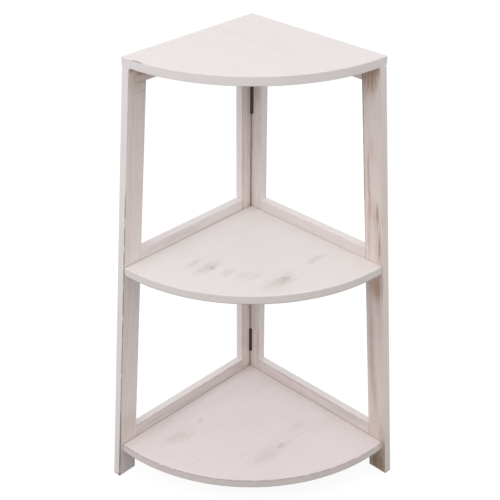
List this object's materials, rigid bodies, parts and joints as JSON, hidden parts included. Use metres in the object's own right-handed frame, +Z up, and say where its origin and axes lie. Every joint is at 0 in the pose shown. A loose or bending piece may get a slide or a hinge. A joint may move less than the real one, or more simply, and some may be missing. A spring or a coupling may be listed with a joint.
{
  "type": "corner shelf",
  "caption": "Folding corner shelf: hinged ladder frames of whitewashed boards carry quarter-round shelves that get larger towards the floor.",
  "frame": {"origin": "on the floor, under the middle of the object's box", "axes": "+Z up, +Y towards the wall corner that the shelf fits into, -Y the open front, +X the right-hand frame's side seen from the front"},
  "size_m": [0.4944, 0.3481, 0.76],
  "materials": {
    "whitewashed_wood": "thin whitewash over pale wood, satin",
    "bare_wood": "unfinished",
    "hinge_bronze": "dark antique bronze plating",
    "screw_steel": "plain zinc"
  },
  "bodies": {
    "left_frame": {"left_rear_post": "whitewashed_wood", "left_front_upright": "whitewashed_wood", "left_top_rail": "whitewashed_wood", "left_middle_rail": "whitewashed_wood", "left_bottom_rail": "whitewashed_wood", "left_middle_cleat": "whitewashed_wood", "left_bottom_cleat": "whitewashed_wood", "left_frame_dowels": "bare_wood", "left_cleat_screws": "screw_steel", "left_hinge_screws": "screw_steel", "lower_hinge_left_leaf": "hinge_bronze", "upper_hinge_left_leaf": "hinge_bronze", "lower_hinge_pin": "hinge_bronze", "upper_hinge_pin": "hinge_bronze", "top_shelf_dowels": "bare_wood"},
    "right_frame": {"right_rear_post": "whitewashed_wood", "right_front_upright": "whitewashed_wood", "right_top_rail": "whitewashed_wood", "right_middle_rail": "whitewashed_wood", "right_bottom_rail": "whitewashed_wood", "right_middle_cleat": "whitewashed_wood", "right_bottom_cleat": "whitewashed_wood", "right_frame_dowels": "bare_wood", "right_cleat_screws": "screw_steel", "right_hinge_screws": "screw_steel", "lower_hinge_right_leaf": "hinge_bronze", "upper_hinge_right_leaf": "hinge_bronze"},
    "top_shelf": {"top_shelf": "whitewashed_wood"},
    "middle_shelf": {"middle_shelf": "whitewashed_wood"},
    "bottom_shelf": {"bottom_shelf": "whitewashed_wood"}
  },
  "joints": [
    {"name": "frame_fold", "type": "hinge", "parent": "left_frame", "child": "right_frame", "pos_m": [0.00028, 0.14818, 0], "axis": [0, 0, 1], "range_deg": [-80, 0]},
    {"name": "top_shelf_lift", "type": "slide", "parent": "left_frame", "child": "top_shelf", "axis": [0, 0, 1], "range_m": [0, 0.1]},
    {"name": "middle_shelf_out", "type": "slide", "parent": "left_frame", "child": "middle_shelf", "axis": [-0.7071, -0.7071, 0], "range_m": [0, 0.48]},
    {"name": "bottom_shelf_out", "type": "slide", "parent": "left_frame", "child": "bottom_shelf", "axis": [-0.7071, -0.7071, 0], "range_m": [0, 0.48]}
  ],
  "couplings": [
    {"joint": "middle_shelf_out", "follows": "frame_fold", "m_per_rad": -0.34},
    {"joint": "bottom_shelf_out", "follows": "frame_fold", "m_per_rad": -0.34}
  ]
}
